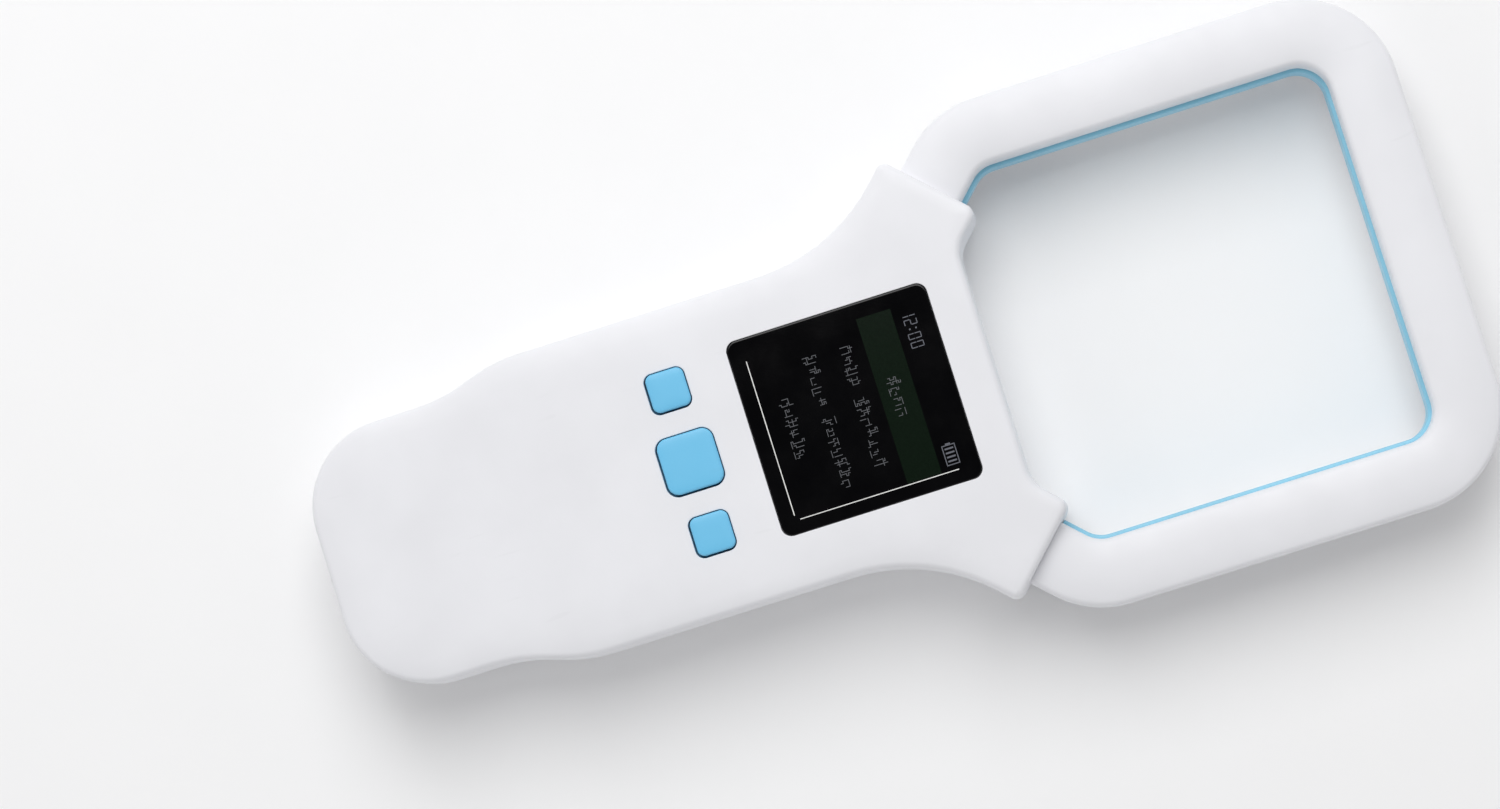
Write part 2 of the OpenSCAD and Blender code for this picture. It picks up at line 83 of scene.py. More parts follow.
# Where the two handle shells meet, and where the front wall ends inside
PARTING = shell_low.z
WALL_IN = box_mm("display_foam")[1].z
REST_Z = box_mm("rear_shell")[0].z
BOARD_TOP = box_mm("main_board")[1].z
END_Y = shell_low.y
LOOP_TOP_Y = tube_high.y
LOOP_W = tube_high.x - tube_low.x
TUBE_TOP = tube_high.z

# The handle's outline and the loop's centre line, as in the CAD model
TUBE_W = 10.8
BEND_R = 10.6
ARM_TURN_Y = 22.9
ARM_LEN = 8.5
COLLAR_W = 17.6
COLLAR_OUT_R = 1.7
COLLAR_IN_R = 2
HANDLE_W = 49.6
HANDLE_END_Y = -57
FLANK_R = 30
GRIP_W = 43
GRIP_END_Y = -67
GRIP_R = 25
YOKE_Y = 18.2
YOKE_R = 5.5
END_R = 14
WALL = 2
# Between fixed pieces that slip into each other
SLIP = 0.1
SIDE_X = LOOP_W / 2 - TUBE_W / 2
TOP_BAR_Y = LOOP_TOP_Y - TUBE_W / 2
FLANGE_AT = ARM_LEN + WALL + SLIP
FLANGE_T = 2
FLANGE_W = COLLAR_W - 2 * WALL - 0.6
TUBE_WALL = 1.8
# Offsets of the coloured strip: its face, and the rebate that it sits in
TRIM_FACE = TUBE_W / 2 + 0.6
TRIM_SEAT = TUBE_W / 2 - 0.8

SCREEN = Vector((0, (window_low.y + window_high.y) / 2))
WINDOW_W = window_high.x - window_low.x
WINDOW_LEN = window_high.y - window_low.y
WINDOW_R = 1.7
ADHESIVE_T = 0.15
POCKET_Z = window_low.z - ADHESIVE_T
APERTURE_W = 28.6

KEYS = ("left", "middle", "right")
# A key's corner radius as a share of its width, and the gap round its cap
KEY_R_SHARE = 1.75 / 9.1
KEY_GAP = 0.25
# The caps sit a little off the middle of their openings
KEY_OFF = 0.09
# How far the lip that holds a cap in stands out
KEY_LIP = 0.7

CASE_POST_R = 3.4
BOARD_POST_R = 2.4
CASE_BORE_R = 1.15
BOARD_BORE_R = 0.9
# Each post widens where it leaves its wall
POST_FLARE = 0.3
POST_FLARE_H = 0.6

# How far each side wall leans in, and the groove along the parting line
LEAN = 0.25
SEAM = 0.12

# Points closer than this are one point
WELD = 0.0003
# The smallest corner radius, and the smallest after a path is moved
MIN_R = 0.02
MIN_MOVED_R = 0.45
# The long sides of a shell's outline are divided into steps of about this length
SIDE_STEP = 2.0


# ---------------------------------------------------------------- paths

def unit(v):
    """The vector's direction."""
    return v / v.length


def corner_arc(before, at, after, radius, step=5.0):
    """Points and outward directions of the arc that rounds a corner, and how far it turns."""
    a = unit(before - at)
    b = unit(after - at)
    half = math.acos(max(-1.0, min(1.0, a.dot(b)))) / 2
    turn_deg = 180 - math.degrees(half) * 2
    count = max(1, round(turn_deg / step))
    radius = max(radius, MIN_R)
    centre = at + unit(a + b) * radius / math.sin(half)
    first = at + a * radius / math.tan(half) - centre
    last = at + b * radius / math.tan(half) - centre
    start = math.atan2(first.y, first.x)
    sweep = math.atan2(last.y, last.x) - start
    sweep = (sweep + math.pi) % (2 * math.pi) - math.pi
    points = []
    for i in range(count + 1):
        angle = start + sweep * i / count
        direction = Vector((math.cos(angle), math.sin(angle)))
        points.append((centre + radius * direction, direction))
    return points, sweep


def rounded(path, step=5.0):
    """Outline of a closed path of corners (x, y, radius)."""
    n = len(path)
    out = []
    for i, (x, y, r) in enumerate(path):
        at = Vector((x, y))
        if r <= 0:
            out.append(at)
            continue
        before = Vector(path[i - 1][:2])
        after = Vector(path[(i + 1) % n][:2])
        points, _ = corner_arc(before, at, after, r, step)
        out += [p for p, _ in points]
    return out


def shifted(path, d):
    """The closed path moved to its left, which is inwards on an anticlockwise path."""
    n = len(path)
    out = []
    for i, (x, y, r) in enumerate(path):
        p = Vector((x, y))
        e1 = unit(p - Vector(path[i - 1][:2]))
        e2 = unit(Vector(path[(i + 1) % n][:2]) - p)
        side = Vector((-e1.y - e2.y, e1.x + e2.x)) / (1 + e1.dot(e2))
        q = p + d * side
        bend = e1.x * e2.y - e1.y * e2.x
        grown = r - d if bend >= 0 else r + d
        out.append((q.x, q.y, max(grown, MIN_MOVED_R) if r > 0 else 0))
    return out


def rectangle(w, length, r, centre=(0, 0)):
    """The path of a rectangle with rounded corners."""
    cx, cy = centre
    return [(cx - w / 2, cy - length / 2, r), (cx + w / 2, cy - length / 2, r),
            (cx + w / 2, cy + length / 2, r), (cx - w / 2, cy + length / 2, r)]


def circle(centre, r, count=32):
    """Points of a circle, anticlockwise."""
    return [Vector((centre[0] + r * math.cos(2 * math.pi * i / count),
                    centre[1] + r * math.sin(2 * math.pi * i / count))) for i in range(count)]


def spread(rings, gap):
    """Divides the long sides of matching rings, all in the same places."""
    base = rings[0]
    n = len(base)
    counts = [max(1, round((base[(i + 1) % n] - base[i]).length / gap)) for i in range(n)]
    out = []
    for ring in rings:
        dense = []
        for i in range(n):
            a, b = ring[i], ring[(i + 1) % n]
            dense += [a.lerp(b, k / counts[i]) for k in range(counts[i])]
        out.append(dense)
    return out


def arm_point(side, along):
    """A point on an arm's centre line, measured from where the loop's side turns in."""
    return (side * (SIDE_X - along / ROOT2), ARM_TURN_Y - along / ROOT2, 0)


def loop_path(end):
    """The loop's centre line, from one arm's end round to the other's."""
    return [arm_point(-1, end), (-SIDE_X, ARM_TURN_Y, BEND_R), (-SIDE_X, TOP_BAR_Y, BEND_R),
            (SIDE_X, TOP_BAR_Y, BEND_R), (SIDE_X, ARM_TURN_Y, BEND_R), arm_point(1, end)]


def handle_path():
    """The handle's outline, with a collar face across each arm."""
    arm_line = SIDE_X - ARM_TURN_Y
    outer_line = arm_line + COLLAR_W / ROOT2
    inner_line = arm_line - COLLAR_W / ROOT2
    face_sum = SIDE_X + ARM_TURN_Y - ARM_LEN * ROOT2
    right = [
        (GRIP_W / 2, END_Y, END_R),
        (GRIP_W / 2, GRIP_END_Y, GRIP_R),
        (HANDLE_W / 2, HANDLE_END_Y, GRIP_R),
        (HANDLE_W / 2, HANDLE_W / 2 - outer_line, FLANK_R),
        ((face_sum + outer_line) / 2, (face_sum - outer_line) / 2, COLLAR_OUT_R),
        ((face_sum + inner_line) / 2, (face_sum - inner_line) / 2, COLLAR_IN_R),
        (YOKE_Y + inner_line, YOKE_Y, YOKE_R),
    ]
    return right + [(-x, y, r) for x, y, r in reversed(right)]


def open_frames(path, step=4.0):
    """Points and left normals along an open path with rounded corners."""
    out = []
    for i, (x, y, r) in enumerate(path):
        p = Vector((x, y))
        if r > 0:
            points, sweep = corner_arc(Vector(path[i - 1][:2]), p, Vector(path[i + 1][:2]), r, step)
            side = -1 if sweep > 0 else 1
            out += [(q, side * direction) for q, direction in points]
            continue
        e = unit(Vector(path[i + 1][:2]) - p) if i == 0 else unit(p - Vector(path[i - 1][:2]))
        out.append((p, Vector((-e.y, e.x))))
    return out


# ---------------------------------------------------------------- mesh helpers

# An edge that turns more than this is left sharp
SHARP_DEG = 28


def ring_verts(bm, points, z):
    """A closed ring of vertices; z is a number or one number for each point."""
    heights = z if hasattr(z, "__len__") else [z] * len(points)
    return [bm.verts.new((p.x, p.y, h)) for p, h in zip(points, heights)]


def stack(bm, rings):
    """Joins each ring to the next with a band of faces."""
    for a, b in zip(rings, rings[1:]):
        n = len(a)
        for i in range(n):
            j = (i + 1) % n
            bm.faces.new((a[i], a[j], b[j], b[i]))


def segment_distance(points, loop):
    """Distance from each point to the nearest segment of an open or closed polyline."""
    p = np.asarray(points, float)[:, None, :]
    a = np.asarray([(v[0], v[1]) for v in loop[:-1]], float)[None]
    b = np.asarray([(v[0], v[1]) for v in loop[1:]], float)[None]
    d = b - a
    t = np.clip(((p - a) * d).sum(-1) / np.maximum((d * d).sum(-1), 1e-12), 0, 1)
    return np.sqrt((((a + t[..., None] * d) - p) ** 2).sum(-1)).min(1)


def inside(points, loop):
    """Which points lie inside a closed polygon."""
    p = np.asarray(points, float)
    poly = np.asarray([(v[0], v[1]) for v in loop], float)
    result = np.zeros(len(p), bool)
    j = len(poly) - 1
    for i in range(len(poly)):
        (xi, yi), (xj, yj) = poly[i], poly[j]
        crosses = (yi > p[:, 1]) != (yj > p[:, 1])
        slope = (xj - xi) / (yj - yi) if yj != yi else 0.0
        result ^= crosses & (p[:, 0] < slope * (p[:, 1] - yi) + xi)
        j = i
    return result


def fill(bm, outer, holes=(), gap=None, height=None):
    """Triangulates the area between an outer ring and hole rings; with a gap it adds inner points."""
    coords, verts, edges = [], [], []
    for loop in [outer, *holes]:
        start = len(coords)
        n = len(loop)
        coords += [Vector((v.co.x, v.co.y)) for v in loop]
        verts += loop
        edges += [(start + i, start + (i + 1) % n) for i in range(n)]
    flat = [[(v.co.x, v.co.y) for v in loop] for loop in [outer, *holes]]
    if gap:
        xs = [c.x for c in coords]
        ys = [c.y for c in coords]
        grid = np.array([(x, y) for x in np.arange(min(xs), max(xs), gap)
                         for y in np.arange(min(ys), max(ys), gap)])
        keep = inside(grid, flat[0])
        for loop in flat[1:]:
            keep &= ~inside(grid, loop)
        grid = grid[keep]
        near = np.min([segment_distance(grid, loop + loop[:1]) for loop in flat], axis=0)
        # Points too close to a ring would make slivers
        grid = grid[near > gap * 0.45]
        for (x, y), z in zip(grid, height(grid)):
            coords.append(Vector((x, y)))
            verts.append(bm.verts.new((x, y, z)))
    points, _, faces, origin, _, _ = delaunay_2d_cdt(coords, edges, [], 1, 1e-6)
    middles = np.array([sum((points[i] for i in f), Vector((0, 0))) / len(f) for f in faces])
    keep = inside(middles, flat[0])
    for loop in flat[1:]:
        keep &= ~inside(middles, loop)
    for face, wanted in zip(faces, keep):
        if wanted:
            bm.faces.new([verts[origin[i][0]] for i in face])


def sweep(bm, frames, section_at):
    """Sweeps a closed section (offset, z) along frames and caps both ends."""
    rings = []
    for i, (p, normal) in enumerate(frames):
        rings.append([bm.verts.new((p.x + normal.x * u, p.y + normal.y * u, z))
                      for u, z in section_at(i)])
    stack(bm, rings)
    bm.faces.new(rings[0])
    bm.faces.new(rings[-1])


def closed_mesh(name, bm):
    """The finished mesh, with its faces turned outwards, in metres."""
    bmesh.ops.recalc_face_normals(bm, faces=bm.faces)
    mesh = bpy.data.meshes.new(name)
    bm.to_mesh(mesh)
    bm.free()
    mesh.transform(Matrix.Scale(MM, 4))
    return mesh


def add_piece(name, bm, material, body=CASE, replaces=(), sharp_deg=SHARP_DEG):
    """Makes a piece that rides on a body and may stand for CAD nodes."""
    mesh = closed_mesh(name, bm)
    piece = bpy.data.objects.new(name, mesh)
    bpy.context.scene.collection.objects.link(piece)
    mesh.materials.append(material)
    smooth(mesh, sharp_deg)
    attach(piece, body)
    if replaces:
        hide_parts(*replaces)
    return piece


def smooth(mesh, sharp_deg):
    """Smooth shading, with hard lines where faces meet at more than an angle."""
    mesh.shade_smooth()
    mesh.set_sharp_from_angle(angle=math.radians(sharp_deg))


def cut(piece, cutters):
    """Takes solids away from a piece and applies the result."""
    for cutter in cutters:
        mesh = closed_mesh("cutter", cutter)
        tool = bpy.data.objects.new("cutter", mesh)
        bpy.context.scene.collection.objects.link(tool)
        modifier = piece.modifiers.new("cut", "BOOLEAN")
        modifier.operation = "DIFFERENCE"
        modifier.solver = "EXACT"
        modifier.object = tool
        drilled = piece.evaluated_get(bpy.context.evaluated_depsgraph_get())
        result = bpy.data.meshes.new_from_object(drilled)
        piece.modifiers.clear()
        old = piece.data
        piece.data = result
        result.name = piece.name
        bpy.data.meshes.remove(old)
        bpy.data.objects.remove(tool)
        bpy.data.meshes.remove(mesh)
    bm = bmesh.new()
    bm.from_mesh(piece.data)
    bmesh.ops.remove_doubles(bm, verts=bm.verts, dist=WELD * MM)
    bm.to_mesh(piece.data)
    bm.free()
    smooth(piece.data, SHARP_DEG)


def quarter(inset, z, r_in, r_up, first_deg=0, last_deg=90, steps=8):
    """Points of an edge rounding from a wall at (inset, z), rising by r_up over r_in."""
    out = []
    for i in range(steps + 1):
        angle = math.radians(first_deg + (last_deg - first_deg) * i / steps)
        out.append((inset + r_in * (1 - math.cos(angle)), z + r_up * math.sin(angle)))
    return out


# ---------------------------------------------------------------- materials

def nodes_of(name):
    """A new material with its node tree and its shader."""
    material = bpy.data.materials.new(name)
    material.use_nodes = True
    tree = material.node_tree
    shader = tree.nodes["Principled BSDF"]
    return material, tree, shader


def noise(tree, scale, detail=2.0, rough=0.5):
    """A noise texture in object space; scale is cycles per metre."""
    coords = tree.nodes.new("ShaderNodeTexCoord")
    texture = tree.nodes.new("ShaderNodeTexNoise")
    texture.inputs["Scale"].default_value = scale
    texture.inputs["Detail"].default_value = detail
    texture.inputs["Roughness"].default_value = rough
    tree.links.new(coords.outputs["Object"], texture.inputs["Vector"])
    return texture.outputs["Fac"]


def ramp(tree, value, low, high, a=0.35, b=0.65):
    """Maps a value to a range of numbers or a range of colours."""
    if isinstance(low, (int, float)):
        node = tree.nodes.new("ShaderNodeMapRange")
        node.inputs["From Min"].default_value = a
        node.inputs["From Max"].default_value = b
        node.inputs["To Min"].default_value = low
        node.inputs["To Max"].default_value = high
        tree.links.new(value, node.inputs["Value"])
        return node.outputs["Result"]
    node = tree.nodes.new("ShaderNodeValToRGB")
    node.color_ramp.elements[0].position = a
    node.color_ramp.elements[1].position = b
    node.color_ramp.elements[0].color = (*low, 1)
    node.color_ramp.elements[1].color = (*high, 1)
    tree.links.new(value, node.inputs["Fac"])
    return node.outputs["Color"]


def bump(tree, shader, height, distance):
    """Gives the shader a relief from a height value; distance is in metres."""
    node = tree.nodes.new("ShaderNodeBump")
    node.inputs["Distance"].default_value = distance
    tree.links.new(height, node.inputs["Height"])
    tree.links.new(node.outputs["Normal"], shader.inputs["Normal"])


def shade(color, factor):
    """The colour made darker or lighter."""
    return tuple(min(1.0, c * factor) for c in color)


def moulded(name, color, rough=(0.38, 0.48), grain=0.006, grain_mm=0.35, tone=0.03,
            coat=0.0, sss=0.0, scuffs=0.0):
    """Moulded plastic: fine grain, a slow drift of tone, uneven gloss and faint handling marks."""
    material, tree, shader = nodes_of(name)
    slow = noise(tree, 1 / (18 * MM), 3)
    body = ramp(tree, slow, shade(color, 1 - tone), shade(color, 1 + tone * 0.4))
    gloss = ramp(tree, noise(tree, 1 / (4 * MM), 4, 0.6), rough[0], rough[1])
    fine = noise(tree, 1 / (grain_mm * MM), 2, 0.55)
    if scuffs:
        marks = scratches(tree, scuffs)
        body = mix(tree, "RGBA", marks, body, shade(color, 0.86))
        gloss = mix(tree, "FLOAT", marks, gloss, rough[1] + 0.15)
    tree.links.new(body, shader.inputs["Base Color"])
    tree.links.new(gloss, shader.inputs["Roughness"])
    bump(tree, shader, fine, grain * MM)
    shader.inputs["IOR"].default_value = 1.5
    shader.inputs["Coat Weight"].default_value = coat
    shader.inputs["Coat Roughness"].default_value = 0.15
    if sss:
        shader.inputs["Subsurface Weight"].default_value = sss
        shader.inputs["Subsurface Radius"].default_value = (1.0, 0.9, 0.8)
        shader.inputs["Subsurface Scale"].default_value = 0.6 * MM
    return material


def scratches(tree, amount):
    """Sparse hair-fine marks, about 2 mm long: thin bands of a stretched noise."""
    coords = tree.nodes.new("ShaderNodeTexCoord")
    mapping = tree.nodes.new("ShaderNodeMapping")
    mapping.inputs["Rotation"].default_value = (0.3, 0.2, 0.9)
    mapping.inputs["Scale"].default_value = (1, 0.12, 0.6)
    lines = tree.nodes.new("ShaderNodeTexNoise")
    lines.inputs["Scale"].default_value = 1 / (1.1 * MM)
    lines.inputs["Detail"].default_value = 0
    tree.links.new(coords.outputs["Object"], mapping.inputs["Vector"])
    tree.links.new(mapping.outputs["Vector"], lines.inputs["Vector"])
    thin = ramp(tree, lines.outputs["Fac"], 0.0, amount, 0.745, 0.775)
    where = ramp(tree, noise(tree, 1 / (11 * MM), 2), 0.0, 1.0, 0.50, 0.62)
    both = tree.nodes.new("ShaderNodeMath")
    both.operation = "MULTIPLY"
    tree.links.new(thin, both.inputs[0])
    tree.links.new(where, both.inputs[1])
    return both.outputs[0]


def mix(tree, kind, factor, first, second):
    """Mixes a linked value with a fixed one."""
    node = tree.nodes.new("ShaderNodeMix")
    node.data_type = kind
    sockets = {"RGBA": (6, 7, 2), "FLOAT": (2, 3, 0)}[kind]
    tree.links.new(factor, node.inputs[0])
    tree.links.new(first, node.inputs[sockets[0]])
    node.inputs[sockets[1]].default_value = (*second, 1) if kind == "RGBA" else second
    return node.outputs[sockets[2]]


def metal(name, color, rough=(0.22, 0.36), stretch=8.0):
    """Plated or rolled metal with fine drawn lines."""
    material, tree, shader = nodes_of(name)
    coords = tree.nodes.new("ShaderNodeTexCoord")
    mapping = tree.nodes.new("ShaderNodeMapping")
    mapping.inputs["Scale"].default_value = (1, stretch, stretch)
    lines = tree.nodes.new("ShaderNodeTexNoise")
    lines.inputs["Scale"].default_value = 1 / (1.2 * MM)
    lines.inputs["Detail"].default_value = 4
    tree.links.new(coords.outputs["Object"], mapping.inputs["Vector"])
    tree.links.new(mapping.outputs["Vector"], lines.inputs["Vector"])
    tree.links.new(ramp(tree, lines.outputs["Fac"], rough[0], rough[1]), shader.inputs["Roughness"])
    tone = noise(tree, 1 / (3 * MM), 3)
    tree.links.new(ramp(tree, tone, shade(color, 0.9), shade(color, 1.06)), shader.inputs["Base Color"])
    bump(tree, shader, lines.outputs["Fac"], 0.004 * MM)
    shader.inputs["Metallic"].default_value = 1.0
    return material


def glass_black(name):
    """Hard-coated window printed black on its back: near-black, polished, a trace of wiping marks."""
    material, tree, shader = nodes_of(name)
    wipe = noise(tree, 1 / (9 * MM), 5, 0.65)
    tree.links.new(ramp(tree, wipe, 0.05, 0.11), shader.inputs["Roughness"])
    tree.links.new(ramp(tree, wipe, (0.0022, 0.0022, 0.0026), (0.0032, 0.0032, 0.0036)),
                   shader.inputs["Base Color"])
    shader.inputs["IOR"].default_value = 1.5
    shader.inputs["Specular IOR Level"].default_value = 0.35
    return material


def glowing(name, color, grain_mm=0.12, dark=0.75):
    """A lit part of the screen, and also the painted glint along its edges, with the fine unevenness of
    its pixels.
    """
    material, tree, shader = nodes_of(name)
    cells = noise(tree, 1 / (grain_mm * MM), 1)
    lit = ramp(tree, cells, shade(color, dark), color)
    unlit = ramp(tree, cells, shade(color, dark * 0.2), shade(color, 0.2))
    tree.links.new(lit, shader.inputs["Emission Color"])
    tree.links.new(unlit, shader.inputs["Base Color"])
    shader.inputs["Emission Strength"].default_value = 1.0
    shader.inputs["Roughness"].default_value = 0.12
    return material


def solder_mask(name):
    """Green board: glossy mask over faint copper tracks."""
    material, tree, shader = nodes_of(name)
    coords = tree.nodes.new("ShaderNodeTexCoord")
    tracks = tree.nodes.new("ShaderNodeTexBrick")
    tracks.inputs["Scale"].default_value = 1 / (6 * MM)
    tracks.inputs["Mortar Size"].default_value = 0.06
    tracks.inputs["Color1"].default_value = (0.012, 0.11, 0.04, 1)
    tracks.inputs["Color2"].default_value = (0.016, 0.13, 0.05, 1)
    tracks.inputs["Mortar"].default_value = (0.03, 0.22, 0.08, 1)
    tree.links.new(coords.outputs["Object"], tracks.inputs["Vector"])
    tree.links.new(tracks.outputs["Color"], shader.inputs["Base Color"])
    bump(tree, shader, tracks.outputs["Fac"], 0.03 * MM)
    tree.links.new(ramp(tree, noise(tree, 1 / (3 * MM)), 0.22, 0.34), shader.inputs["Roughness"])
    return material


def winding(name):
    """A bundle of enamelled copper turns that runs along the loop."""
    material, tree, shader = nodes_of(name)
    coords = tree.nodes.new("ShaderNodeTexCoord")
    turns = tree.nodes.new("ShaderNodeTexWave")
    turns.wave_type = "BANDS"
    turns.bands_direction = "Z"
    turns.inputs["Scale"].default_value = 1 / (2.2 * MM)
    turns.inputs["Distortion"].default_value = 0.6
    tree.links.new(coords.outputs["Object"], turns.inputs["Vector"])
    tree.links.new(ramp(tree, turns.outputs["Fac"], (0.30, 0.10, 0.03), (0.75, 0.33, 0.12), 0.2, 0.8),
                   shader.inputs["Base Color"])
    bump(tree, shader, turns.outputs["Fac"], 0.08 * MM)
    shader.inputs["Metallic"].default_value = 0.85
    tree.links.new(ramp(tree, noise(tree, 1 / (2 * MM)), 0.25, 0.4), shader.inputs["Roughness"])
    return material


WHITE = moulded("white_shell", (0.84, 0.843, 0.872), rough=(0.40, 0.50), scuffs=0.15)
WHITE_REAR = moulded("rear_shell", (0.82, 0.823, 0.852), rough=(0.42, 0.52), scuffs=0.35)
TRIM_BLUE = moulded("blue_trim", (0.27, 0.61, 0.79), rough=(0.36, 0.46), tone=0.05, scuffs=0.15)
KEY_BLUE = moulded("blue_key", (0.165, 0.56, 0.85), rough=(0.34, 0.44), grain=0.004, scuffs=0.25)
WINDOW_BLACK = glass_black("window_black")

SLOT_LOOKS = {
    "white_shell": WHITE,
    "rear_shell": WHITE_REAR,
    "blue_trim": TRIM_BLUE,
    "blue_key": KEY_BLUE,
    "window_glass": WINDOW_BLACK,
    "adhesive": moulded("adhesive", (0.02, 0.02, 0.02), rough=(0.6, 0.75), grain=0.02),
    "foam": moulded("foam", (0.025, 0.025, 0.028), rough=(0.85, 0.95), grain=0.15, grain_mm=0.5),
    "lcd": glass_black("lcd_black"),
    "frame_plastic": moulded("frame_plastic", (0.50, 0.50, 0.51)),
    "flex_film": moulded("flex_film", (0.50, 0.17, 0.02), rough=(0.2, 0.3), grain=0.002, coat=0.3),
    "black_plastic": moulded("black_plastic", (0.018, 0.018, 0.02), rough=(0.5, 0.62),
                             grain=0.01, grain_mm=0.15),
    "switch_body": moulded("switch_body", (0.07, 0.07, 0.075), rough=(0.45, 0.55)),
    "plunger": moulded("plunger", (0.02, 0.02, 0.022), rough=(0.35, 0.45)),
    "spring_steel": metal("spring_steel", (0.62, 0.62, 0.62), rough=(0.15, 0.28)),
    "board": solder_mask("board"),
    "steel": metal("steel", (0.56, 0.56, 0.57)),
    "ceramic": moulded("ceramic", (0.42, 0.29, 0.17), rough=(0.4, 0.55), grain=0.01, grain_mm=0.1),
    "copper_wire": winding("copper_wire"),
    "natural_nylon": moulded("natural_nylon", (0.72, 0.68, 0.55), sss=0.1),
    "lead_red": moulded("lead_red", (0.42, 0.015, 0.012), rough=(0.4, 0.5)),
    "battery_wrap": metal("battery_wrap", (0.42, 0.47, 0.54), rough=(0.3, 0.45), stretch=2.0),
}


# ---------------------------------------------------------------- camera, light and floor

def look_camera():
    """Looks down at the scanner, rolled so that the loop points up to the right."""
    roll = math.radians(17.6)
    lean_x = math.tan(math.radians(4.0))
    lean_y = math.tan(math.radians(3.0))
    # In metres: how far the camera is, and the width that it sees there
    distance = 0.7
    frame_w = 0.2349
    sensor = 36.0
    target = Vector((-5.7, SCREEN.y - 15.3, TOP)) * MM
    back = Vector((lean_x, lean_y, 1)).normalized()
    right = Vector((math.sin(roll), math.cos(roll), 0))
    right = (right - back * right.dot(back)).normalized()
    up = back.cross(right)
    data = bpy.data.cameras.new("camera")
    data.sensor_width = sensor
    data.lens = sensor * distance / frame_w
    data.clip_start = 0.01
    data.clip_end = 10
    camera = bpy.data.objects.new("camera", data)
    camera.matrix_world = Matrix((right, up, back)).transposed().to_4x4()
    camera.location = target + back * distance
    bpy.context.scene.collection.objects.link(camera)
    bpy.context.scene.camera = camera


def area_light(name, direction, distance, size, power):
    """A rectangular lamp that looks at the scanner from a direction; lengths are in metres."""
    data = bpy.data.lights.new(name, "AREA")
    data.shape = "RECTANGLE"
    data.size, data.size_y = size
    data.energy = power
    lamp = bpy.data.objects.new(name, data)
    aim = Vector((0, 0, 0.01))
    lamp.location = aim + direction.normalized() * distance
    lamp.rotation_euler = (-direction).to_track_quat("-Z", "Y").to_euler()
    bpy.context.scene.collection.objects.link(lamp)


def studio_world():
    """White walls all round and a darker patch overhead, so that the screen mirrors the dark."""
    world = bpy.data.worlds.new("studio")
    world.use_nodes = True
    tree = world.node_tree
    background = tree.nodes["Background"]
    coords = tree.nodes.new("ShaderNodeTexCoord")
    split = tree.nodes.new("ShaderNodeSeparateXYZ")
    tree.links.new(coords.outputs["Generated"], split.inputs["Vector"])
    walls, ceiling = (0.605, 0.605, 0.61), (0.012, 0.012, 0.013)
    tree.links.new(ramp(tree, split.outputs["Z"], walls, ceiling, 0.80, 0.93),
                   background.inputs["Color"])
    background.inputs["Strength"].default_value = 1.0
    return world


def stage():
    """Soft light from the top of the picture, a little from its lower left, and a pale floor."""
    scene = bpy.context.scene
    scene.world = studio_world()
    scene.view_settings.view_transform = "Standard"
    area_light("key_light", Vector((-0.62, 0.08, 0.95)), 0.9, (0.6, 0.8), 5.3)
    area_light("fill_light", Vector((0.5, -0.9, 0.8)), 1.0, (0.5, 0.5), 0.6)

    bm = bmesh.new()
    reach, rings, segments, drop = 900, 6, 48, 0.02
    loops = [ring_verts(bm, circle((0, 0), reach * (i + 1) / rings, segments), -drop)
             for i in range(rings)]
    bm.faces.new(loops[0])
    stack(bm, loops)
    mesh = bpy.data.meshes.new("floor")
    bm.to_mesh(mesh)
    bm.free()
    mesh.transform(Matrix.Scale(MM, 4))
    mesh.materials.append(moulded("floor", (0.965, 0.965, 0.967), rough=(0.6, 0.7),
                                  grain=0.01, grain_mm=1.5, tone=0.005))
    floor = bpy.data.objects.new("floor", mesh)
    scene.collection.objects.link(floor)


# ---------------------------------------------------------------- handle shells

# How far the front face falls towards its flanks, and over what width
CROWN = 0.4
CROWN_REACH = 7.0
EDGE_R = 1.2
REAR_EDGE_R = 3.0
CASE_POSTS = ((-23, 5), (23, 5), (-14, -79), (14, -79))
BOARD_POSTS = ((-15.5, -42), (15.5, -42), (-15, -64), (15, -64))
SOUND_PITCH = 2.4
RIB_X = 18.2
RIB_Y = (-38, -66)


def flank_line():
    """The part of the outline where the front face falls away: both flanks and the end."""
    path = handle_path()
    collar_y = path[4][1]
    yoke_half = 18
    return [p for p in rounded(path)
            if p.y <= collar_y + 0.2 and not (abs(p.x) < yoke_half and p.y > 0)]


def crown_drop(points):
    """How far the front face lies below its flat middle."""
    line = flank_line()
    ordered = sorted((p for p in line if p.x > 0), key=lambda p: -p.y)
    ordered += sorted((p for p in line if p.x <= 0), key=lambda p: p.y)
    d = segment_distance(points, [(p.x, p.y) for p in ordered])
    near = 1 - np.clip(d / CROWN_REACH, 0, 1)
    return CROWN * near ** 2


def post(bm, centre, r, z_wall, z_end, bore_r, bore_depth):
    """A screw post that hangs from the front wall; returns its ring in that wall."""
    bevel = 0.15
    root = ring_verts(bm, circle(centre, r + POST_FLARE), z_wall)
    neck = ring_verts(bm, circle(centre, r), z_wall - POST_FLARE_H)
    edge = ring_verts(bm, circle(centre, r), z_end)
    mouth = ring_verts(bm, circle(centre, bore_r + bevel), z_end)
    lip = ring_verts(bm, circle(centre, bore_r), z_end + bevel)
    bottom = ring_verts(bm, circle(centre, bore_r), z_end + bore_depth)
    stack(bm, [root, neck, edge, mouth, lip, bottom])
    bm.faces.new(bottom)
    return root


